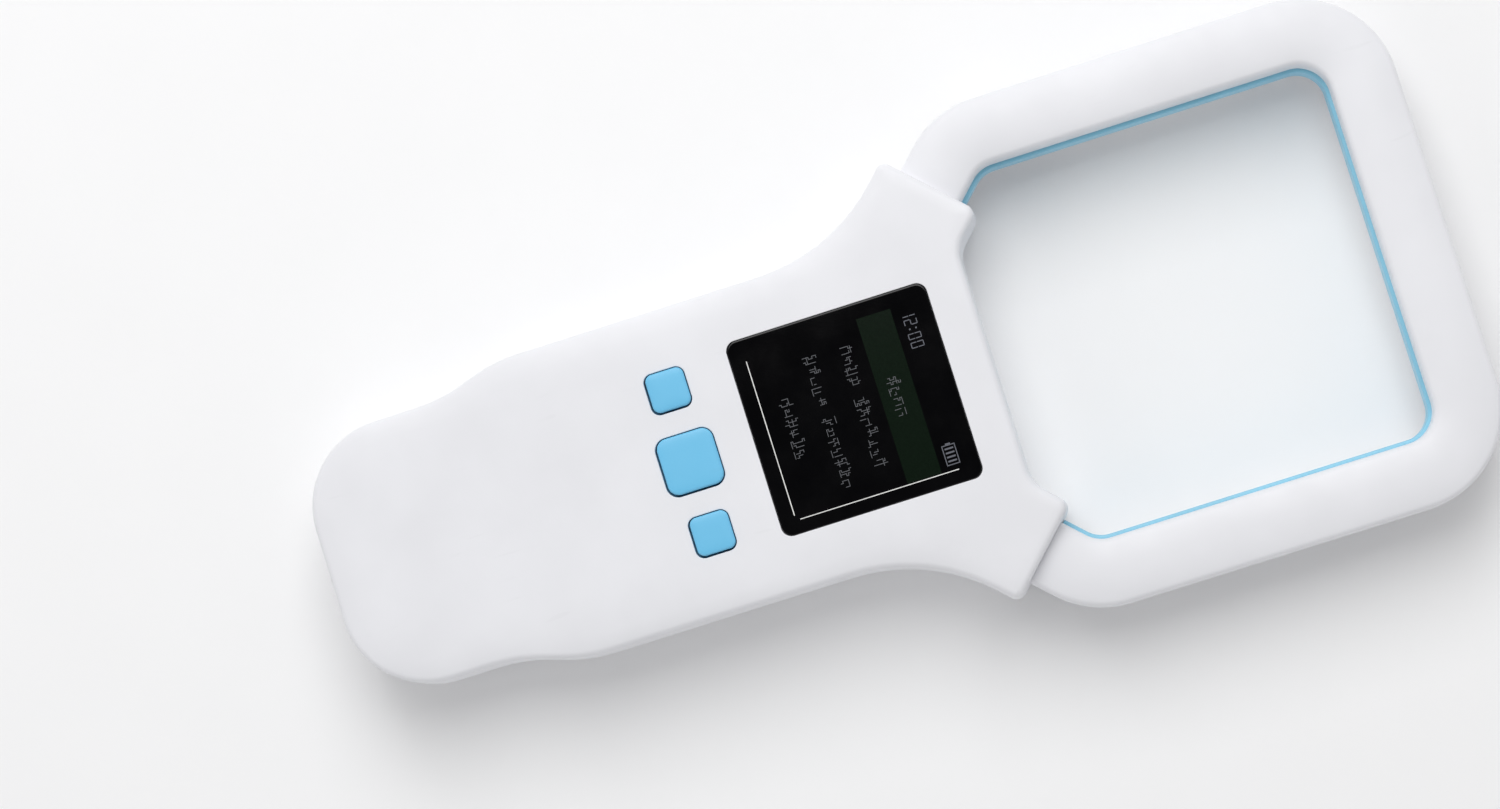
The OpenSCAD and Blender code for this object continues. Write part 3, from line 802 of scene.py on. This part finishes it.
def opening(bm, path, z_top, z_bottom, bevel):
    """An opening in the front face with a rounded rim; returns its top and bottom rings."""
    top = ring_verts(bm, rounded(shifted(path, -2 * bevel)), z_top)
    rim = []
    for angle in (0, math.pi / 6, math.pi / 3, math.pi / 2):
        out, down = bevel * (1 - math.sin(angle)), bevel * (1 - math.cos(angle))
        rim.append(ring_verts(bm, rounded(shifted(path, -out)), z_top - down))
    bottom = ring_verts(bm, rounded(path), z_bottom)
    stack(bm, [top, *rim, bottom])
    return top, bottom


def key_box(side):
    """A key cap's middle, the width of its face, and its lowest and highest corners."""
    low, high = box_mm(f"{side}_key_cap")
    w = high.x - low.x - 2 * KEY_LIP
    return (low + high) / 2, w, low, high


def tube_cutter(clear):
    """The loop's tube, grown by a clearance, as a solid that cuts the collars."""
    bm = bmesh.new()
    outline = tube_outline(clear)
    sweep(bm, open_frames(loop_path(FLANGE_AT + FLANGE_T)), lambda i: outline)
    return bm


def tube_outline(clear):
    """The whole tube's outer section, both halves, grown by a clearance, anticlockwise."""
    half = [(u + clear, z) for u, z in tube_quarter()]
    height = TUBE_TOP - PARTING
    upper = [(u, z + clear * (z - PARTING) / height) for u, z in half]
    top = upper + [(-u, z) for u, z in reversed(upper)]
    return top + [(u, 2 * PARTING - z) for u, z in reversed(top)]


def tube_quarter():
    """From the side wall up over the rounded edge to the gently crowned top."""
    edge_r, wall_lean, top_slope, power = 1.15, 0.15, 15.0, 2.3
    side = TUBE_W / 2
    centre_u = side - wall_lean - edge_r
    end_u = centre_u + edge_r * math.sin(math.radians(top_slope))
    crown = math.tan(math.radians(top_slope)) * end_u / power
    centre_z = TUBE_TOP - crown - edge_r * math.cos(math.radians(top_slope))
    points = [(side, PARTING + SEAM)]
    for i in range(9):
        angle = math.radians((90 - top_slope) * i / 8)
        points.append((centre_u + edge_r * math.cos(angle), centre_z + edge_r * math.sin(angle)))
    for share in (0.85, 0.7, 0.5, 0.3, 0.1):
        points.append((end_u * share, TUBE_TOP - crown * share ** power))
    return points


def build_front_shell():
    """The handle's front half: a crowned wall with the window's recess, key openings and posts."""
    bm = bmesh.new()
    path = handle_path()
    wall_top = TOP - 2.2
    case_bore_depth, board_bore_depth = 5, 3.8
    # Each ring: how far in from the outline, its height, and its share of the crown's drop
    profile = [(WALL, WALL_IN, 0), (WALL, PARTING, 0), (SEAM, PARTING, 0), (0, PARTING + SEAM, 0)]
    profile += [(LEAN * t, PARTING + SEAM + (wall_top - PARTING - SEAM) * t, 0) for t in (0.5, 1.0)]
    edge = quarter(LEAN, TOP - EDGE_R, EDGE_R, EDGE_R, 0, 80, 8)
    lift = TOP - edge[-1][1]
    profile += [(inset, z + lift, 1) for inset, z in edge]
    outlines = spread([rounded(shifted(path, inset)) for inset, _, _ in profile], SIDE_STEP)
    drop = crown_drop([(p.x, p.y) for p in outlines[3]])
    rings = [ring_verts(bm, points, z - drop * share) for points, (_, z, share) in zip(outlines, profile)]
    stack(bm, rings)

    window = rectangle(WINDOW_W + 2 * SLIP, WINDOW_LEN + 2 * SLIP, WINDOW_R, SCREEN)
    aperture = rectangle(APERTURE_W, APERTURE_W, 0.5, SCREEN)
    window_top, window_floor = opening(bm, window, TOP, POCKET_Z, 0.1)
    aperture_top = ring_verts(bm, rounded(aperture), POCKET_Z)
    aperture_low = ring_verts(bm, rounded(aperture), WALL_IN)
    stack(bm, [aperture_top, aperture_low])
    fill(bm, window_floor, [aperture_top])
    top_holes, low_holes = [window_top], [aperture_low]
    for side in KEYS:
        centre, w, _, _ = key_box(side)
        hole = w + 2 * KEY_GAP
        middle = (centre.x + KEY_OFF, centre.y - KEY_OFF)
        outline = rectangle(hole, hole, w * KEY_R_SHARE + KEY_GAP, middle)
        top, bottom = opening(bm, outline, TOP, WALL_IN, 0.12)
        top_holes.append(top)
        low_holes.append(bottom)
    for p in CASE_POSTS:
        low_holes.append(post(bm, p, CASE_POST_R, WALL_IN, PARTING, CASE_BORE_R, case_bore_depth))
    for p in BOARD_POSTS:
        low_holes.append(post(bm, p, BOARD_POST_R, WALL_IN, BOARD_TOP, BOARD_BORE_R, board_bore_depth))
    fill(bm, rings[-1], top_holes, gap=1.4, height=lambda grid: TOP - crown_drop(grid))
    fill(bm, rings[0], low_holes)
    shell = add_piece("front_shell_skin", bm, WHITE, replaces=["front_shell"])
    cut(shell, [tube_cutter(SLIP), port_cutter()])


def port_cutter():
    """The hole for the charging socket, with a bevelled mouth."""
    bm = bmesh.new()
    clear, bevel = 0.5, 0.35
    w = port_high.x - port_low.x + clear
    h = port_high.z - port_low.z + clear
    middle = ((port_low.x + port_high.x) / 2, (port_low.z + port_high.z) / 2)
    stations = ((END_Y - 1, 0.9), (END_Y, bevel), (END_Y + bevel, 0), (END_Y + WALL + 1, 0))
    rings = []
    for y, grow in stations:
        outline = rounded(rectangle(w + 2 * grow, h + 2 * grow, h / 2 + grow - 0.05, middle))
        rings.append([bm.verts.new((p.x, y, p.y)) for p in outline])
    stack(bm, rings)
    bm.faces.new(rings[0])
    bm.faces.new(rings[-1])
    return bm


def screw_column(bm, p):
    """A post with a counterbored hole for a case screw; returns its outer and inner rings."""
    seat_r, seat_depth, hole_r, bevel = 2.3, 2.2, 1.25, 0.25
    rows = [(seat_r + bevel, REST_Z), (seat_r, REST_Z + bevel), (seat_r, REST_Z + seat_depth),
            (hole_r, REST_Z + seat_depth), (hole_r, PARTING), (CASE_POST_R, PARTING),
            (CASE_POST_R, REST_Z + WALL + POST_FLARE_H), (CASE_POST_R + POST_FLARE, REST_Z + WALL)]
    rings = [ring_verts(bm, circle(p, r), z) for r, z in rows]
    stack(bm, rings)
    return rings[0], rings[-1]


def sound_hole(bm, p):
    """A small hole under the buzzer; returns its outer and inner rings."""
    r, bevel, count = 0.6, 0.15, 20
    rows = [(r + bevel, REST_Z), (r, REST_Z + bevel), (r, REST_Z + WALL)]
    rings = [ring_verts(bm, circle(p, row_r, count), z) for row_r, z in rows]
    stack(bm, rings)
    return rings[0], rings[-1]


def battery_rib(bm, p):
    """A rib that keeps the battery from sliding; returns its ring in the wall."""
    thick, length, height, taper = 1.2, 6, 6, 0.15
    outline = rectangle(thick, length, 0.3, p)
    root = ring_verts(bm, rounded(outline), REST_Z + WALL)
    crest = ring_verts(bm, rounded(shifted(outline, taper)), REST_Z + height)
    stack(bm, [root, crest])
    bm.faces.new(crest)
    return root


def build_rear_shell():
    """The handle's rear half, which the scanner lies on: screw columns, ribs and sound holes."""
    bm = bmesh.new()
    path = handle_path()
    inner_z = REST_Z + WALL
    profile = [(WALL, inner_z), (WALL, PARTING), (SEAM, PARTING), (0, PARTING - SEAM)]
    middle_z = PARTING / 2 + 2
    profile += [(LEAN * 0.5, middle_z)]
    edge = quarter(LEAN, REAR_EDGE_R, REAR_EDGE_R * 0.8, REAR_EDGE_R, 0, 90, 10)
    profile += [(inset, REST_Z + 2 * REAR_EDGE_R - z) for inset, z in edge]
    outlines = spread([rounded(shifted(path, inset)) for inset, _ in profile], SIDE_STEP)
    rings = [ring_verts(bm, points, z) for points, (_, z) in zip(outlines, profile)]
    stack(bm, rings)
    outer_holes, inner_holes = [], []
    for p in CASE_POSTS:
        mouth, root = screw_column(bm, p)
        outer_holes.append(mouth)
        inner_holes.append(root)
    buzz_low, buzz_high = box_mm("buzzer")
    buzzer = (buzz_low + buzz_high) / 2
    for i in (-1, 0, 1):
        mouth, inner = sound_hole(bm, (buzzer.x + SOUND_PITCH * i, buzzer.y))
        outer_holes.append(mouth)
        inner_holes.append(inner)
    for side in (-1, 1):
        for y in RIB_Y:
            inner_holes.append(battery_rib(bm, (side * RIB_X, y)))
    fill(bm, rings[-1], outer_holes)
    fill(bm, rings[0], inner_holes)
    shell = add_piece("rear_shell_skin", bm, WHITE_REAR, replaces=["rear_shell"])
    cut(shell, [tube_cutter(SLIP)])


# ---------------------------------------------------------------- antenna loop

def loop_frames():
    """Stations along the tube; the flange at each end is a wider stretch."""
    frames = open_frames(loop_path(FLANGE_AT))
    first, last = frames[0], frames[-1]

    def moved(station, by):
        p, normal = station
        along = Vector((normal.y, -normal.x))
        return (p + along * by, normal)

    flange = [(moved(first, -FLANGE_T), True), (first, True)]
    body = [(f, False) for f in frames]
    return flange + body + [(last, True), (moved(last, FLANGE_T), True)]


def build_loop_half(name, upper, material, node):
    """Half of the loop's tube, hollow, with half of the strip's rebate in its inner wall."""
    bm = bmesh.new()
    trim_top = PARTING + (trim_high.z - trim_low.z) / 2
    hollow = TUBE_W / 2 - TUBE_WALL
    roof = TUBE_TOP - TUBE_WALL
    haunch_w, haunch_h = 1.2, 2
    quarter_up = tube_quarter()
    section = [(TUBE_W / 2 - SEAM, PARTING)] + quarter_up
    section += [(-u, z) for u, z in reversed(quarter_up) if z >= trim_top]
    section += [(-TUBE_W / 2, trim_top + 0.02), (-TRIM_SEAT, trim_top), (-TRIM_SEAT, PARTING),
                (-hollow, PARTING), (-hollow, roof - haunch_h), (-hollow + haunch_w, roof),
                (hollow - haunch_w, roof), (hollow, roof - haunch_h), (hollow, PARTING)]
    if not upper:
        section = [(u, 2 * PARTING - z) for u, z in section]
    stations = loop_frames()
    grow = (FLANGE_W - TUBE_W) / 2

    def section_at(i):
        if not stations[i][1]:
            return section
        return [(u + math.copysign(grow, u) if abs(u) > hollow + 0.01 else u, z) for u, z in section]

    sweep(bm, [s[0] for s in stations], section_at)
    bmesh.ops.remove_doubles(bm, verts=bm.verts, dist=WELD)
    add_piece(name, bm, material, replaces=[node], sharp_deg=32)


def build_trim():
    """The coloured strip, swept along the inner wall of the loop."""
    bm = bmesh.new()
    half = (trim_high.z - trim_low.z) / 2
    r = 0.35
    section = [(-TRIM_SEAT, PARTING - half), (-TRIM_SEAT, PARTING + half)]
    for sign in (1, -1):
        corner = []
        for angle in (math.radians(a) for a in range(0, 91, 15)):
            corner.append((-TRIM_FACE + r - r * math.sin(angle),
                           PARTING + sign * (half - r + r * math.cos(angle))))
        section += corner if sign > 0 else corner[::-1]
    sweep(bm, open_frames(loop_path(ARM_LEN - SLIP / 2)), lambda i: section)
    add_piece("inner_trim_strip", bm, TRIM_BLUE, replaces=["loop_inner_trim"])


# ---------------------------------------------------------------- screen

def flat_slab(bm, path, z_low, z_high, bevel=0.0):
    """A plate with an optional bevel around its top."""
    rows = [(0, z_low), (0, z_high - bevel)]
    if bevel:
        rows += [(bevel * 0.3, z_high - bevel * 0.3), (bevel, z_high), (bevel * 2, z_high)]
    rings = [ring_verts(bm, rounded(shifted(path, inset) if inset else path), z) for inset, z in rows]
    stack(bm, rings)
    fill(bm, rings[-1])
    fill(bm, rings[0])


def build_window():
    """The black window, flush with the front shell."""
    bm = bmesh.new()
    flat_slab(bm, rectangle(WINDOW_W, WINDOW_LEN, WINDOW_R, SCREEN), window_low.z, window_high.z, 0.12)
    add_piece("screen_window", bm, WINDOW_BLACK, replaces=["display_window"])


# How far a lit mark stands out of the window, and the gap between marks that would touch
INK = 0.02
GAP = 0.02
# Lit areas, and the painted glint lines along two edges of the panel, from the screen's middle: x, y,
# width and height
SELECTED_ROW = (0.1, 7.3, 27.0, 5.6)
PAINTED_GLINT_LINES = ((13.8, -0.15, 0.14, 26.0), (0.35, -13.85, 25.3, 0.15))
PAINTED_GLINT_R = 0.05
# Rows of words: y, where the row starts, and how many signs each word has
WORD_ROWS = ((7.2, -3.0, (4,)), (1.5, -9.8, (4, 7)), (-4.3, -10.0, (5, 7)), (-9.9, -4.8, (6,)))
SIGN_PITCH = 1.68


def mark(bm, x, y, w, h, r=0.0, proud=INK):
    """A thin raised mark on the window, placed from the screen's middle."""
    centre = (SCREEN.x + x, SCREEN.y + y)
    outline = rectangle(w, h, min(r, w / 2.01, h / 2.01), centre)
    flat_slab(bm, outline, window_high.z - INK, window_high.z + proud)


# The bars of each figure that the clock shows
SEGMENTS = {"0": "abcdef", "1": "bc", "2": "abged"}


def digit(bm, figure, x, y, w, h, line):
    """A seven-segment figure with its lower left corner at x, y."""
    wide, tall = w - line - 3 * GAP, h / 2 - line / 2 - 3 * GAP
    left, middle, right = x + line / 2, x + w / 2, x + w - line / 2
    places = {
        "a": (middle, y + h - line / 2, wide, line),
        "b": (right, y + h * 0.75, line, tall),
        "c": (right, y + h * 0.25, line, tall),
        "d": (middle, y + line / 2, wide, line),
        "e": (left, y + h * 0.25, line, tall),
        "f": (left, y + h * 0.75, line, tall),
        "g": (middle, y + h / 2, wide, line),
    }
    for name in SEGMENTS[figure]:
        mark(bm, *places[name])


def build_screen_marks():
    """The lit picture: a selected row, four rows of greeked words, a clock and a charge sign, and a
    painted glint along two edges of the panel.
    """
    green = glowing("screen_green", (0.0034, 0.0082, 0.0042), 0.3, 0.8)
    grey = glowing("screen_grey", (0.115, 0.118, 0.128))
    pale = glowing("screen_pale", (0.135, 0.14, 0.162))
    # Painted glint: white lines where the panel's edges catch the light
    painted_edge_glint = glowing("screen_painted_edge_glint", (0.74, 0.74, 0.72), 0.6, 0.8)

    bm = bmesh.new()
    mark(bm, *SELECTED_ROW, proud=INK / 2)
    add_piece("screen_selected_row", bm, green)

    rng = random.Random(7)
    bm = bmesh.new()
    for y, x, words in WORD_ROWS:
        for count in words:
            for place in range(count):
                greek(bm, rng, x, y, place == 0 or rng.random() < 0.3)
                x += SIGN_PITCH
            x += SIGN_PITCH
    add_piece("screen_rows", bm, grey)

    bm = bmesh.new()
    clock(bm, -12.3, 11.5)
    battery_icon(bm)
    add_piece("screen_status", bm, pale)

    # The painted glint along two edges of the panel
    bm = bmesh.new()
    for place in PAINTED_GLINT_LINES:
        mark(bm, *place, PAINTED_GLINT_R)
    add_piece("screen_painted_glint_lines", bm, painted_edge_glint)


def clock(bm, x, y):
    """A generic time in seven-segment figures, from its lower left corner."""
    w, h, line, pitch = 0.95, 2.1, 0.14, 1.4
    dot, dot_x, dot_heights, colon_pitch = 0.25, 0.15, (0.6, 1.6), 0.85
    for figure in "12:00":
        if figure == ":":
            for dot_y in dot_heights:
                mark(bm, x + dot_x, y + dot_y, dot, dot)
            x += colon_pitch
            continue
        digit(bm, figure, x, y, w, h, line)
        x += pitch


def greek(bm, rng, x, y, tall):
    """A made-up sign that stands for a letter: two stems that step sideways, and a bar across them."""
    rows, step_x, step_y, line = 8, 0.35, 0.307, 0.11
    y_low = y - step_y * (rows - 1) / 2
    top = rows - 1 if tall else rows - 3
    bar_row = rng.randint(0, top)
    strokes = {(column + 0.5, bar_row) for column in range(3)}
    for first in (0, 2):
        column = first + rng.randrange(2)
        for row in range(rng.randint(0, 2), top - rng.randint(0, 2)):
            strokes.add((column, row + 0.5))
            if rng.random() < 0.25:
                strokes.add((first + 0.5, row + 1))
                column = 2 * first + 1 - column
    spots = {(math.floor(c), math.floor(r)) for c, r in strokes}
    spots |= {(math.ceil(c), math.ceil(r)) for c, r in strokes}
    for c, r in sorted(spots):
        mark(bm, x + step_x * c, y_low + step_y * r, line, line)
    for c, r in sorted(strokes):
        across = c % 1 > 0
        w = step_x - line - GAP if across else line
        h = line if across else step_y - line - GAP
        mark(bm, x + step_x * c, y_low + step_y * r, w, h)


def battery_icon(bm):
    """A cell seen from the side, with its four bars lit."""
    x0, x1, y0, y1, line = 9.7, 12.8, 11.3, 13.3, 0.15
    nub_w, nub_h, nub_off = 0.22, 0.8, 0.21
    bar_w, bar_pitch, first_bar, bar_margin = 0.26, 0.66, 0.55, 0.6
    middle_x, middle_y = (x0 + x1) / 2, (y0 + y1) / 2
    for y in (y0, y1):
        mark(bm, middle_x, y, x1 - x0 - line - GAP, line)
    for x in (x0, x1):
        mark(bm, x, middle_y, line, y1 - y0 + line)
    mark(bm, x0 - nub_off, middle_y, nub_w, nub_h)
    for i in range(4):
        mark(bm, x0 + first_bar + bar_pitch * i, middle_y, bar_w, y1 - y0 - bar_margin)


# ---------------------------------------------------------------- keys

def build_key(side):
    """A push key: a soft-edged crowned face, a lip that holds it in, and a stem to its switch."""
    bm = bmesh.new()
    centre, w, low, high = key_box(side)
    at = (centre.x, centre.y)
    r = w * KEY_R_SHARE
    soft, dome, dome_reach = 0.38, 0.05, 1.6
    wall, stem_r, lip_t = 1.2, 1.6, 0.6
    lip_top = WALL_IN - 0.3
    lip_low = lip_top - lip_t
    cap = rectangle(w, w, r, at)
    lip = rounded(rectangle(w + 2 * KEY_LIP, w + 2 * KEY_LIP, r, at))

    edge = quarter(0, high.z - soft, soft, soft, 0, 84, 7)
    lift = high.z - dome - edge[-1][1]
    profile = [(0, lip_top)] + [(inset, z + lift) for inset, z in edge]
    outlines = spread([rounded(shifted(cap, inset)) for inset, _ in profile], 0.8)
    rings = [ring_verts(bm, points, z) for points, (_, z) in zip(outlines, profile)]
    lip_rings = [ring_verts(bm, lip, lip_low), ring_verts(bm, lip, lip_top)]
    stack(bm, lip_rings)
    fill(bm, lip_rings[1], [rings[0]])
    stack(bm, rings)

    def crown(grid):
        d = segment_distance(grid, [(v.co.x, v.co.y) for v in rings[-1] + rings[-1][:1]])
        return high.z - dome * (1 - np.clip(d / dome_reach, 0, 1)) ** 2

    fill(bm, rings[-1], gap=0.7, height=crown)
    roof = high.z - wall
    inner = rounded(shifted(cap, wall))
    pocket_low = ring_verts(bm, inner, lip_low)
    pocket_top = ring_verts(bm, inner, roof)
    stem_top = ring_verts(bm, circle(at, stem_r, 28), roof)
    stem_low = ring_verts(bm, circle(at, stem_r, 28), low.z)
    stack(bm, [pocket_low, pocket_top])
    stack(bm, [stem_top, stem_low])
    bm.faces.new(stem_low)
    fill(bm, pocket_top, [stem_top])
    fill(bm, lip_rings[0], [pocket_low])
    add_piece(f"{side}_key_skin", bm, KEY_BLUE, body=f"{side}_key",
              replaces=[f"{side}_key_cap"])


def build_dome(side):
    """The thin steel disc under a plunger, which flattens when its key is pressed."""
    low, high = box_mm(f"{side}_snap_dome")
    at = ((low.x + high.x) / 2, (low.y + high.y) / 2)
    radius, height = (high.x - low.x) / 2, high.z - low.z
    thick, power, count = 0.12, 2.3, 8
    bm = bmesh.new()

    def cap(inset):
        shares = [i / count for i in range(1, count + 1)]
        return [ring_verts(bm, circle(at, (radius - inset) * share, 40),
                           low.z + (height - inset) * (1 - share ** power)) for share in shares]

    upper, under = cap(0), cap(thick)
    stack(bm, upper + under[::-1])
    bm.faces.new(upper[0])
    bm.faces.new(under[0])
    disc = add_piece(f"{side}_dome_disc", bm, SLOT_LOOKS["spring_steel"],
                     replaces=[f"{side}_snap_dome"])
    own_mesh(disc)


# ---------------------------------------------------------------- build

def finish_cad_nodes():
    """CAD pieces that keep their own shape get their slot's material."""
    slots = {s["node"]: s["material_slot"] for s in frame["record"]["subparts"]}
    for name, node in frame["nodes"].items():
        node.data.materials.clear()
        node.data.materials.append(SLOT_LOOKS[slots[name]])


finish_cad_nodes()
look_camera()
stage()
build_front_shell()
build_rear_shell()
build_loop_half("loop_front_skin", True, WHITE, "loop_front_shell")
build_loop_half("loop_rear_skin", False, WHITE_REAR, "loop_rear_shell")
build_trim()
build_window()
build_screen_marks()
for key_side in KEYS:
    build_key(key_side)
    build_dome(key_side)
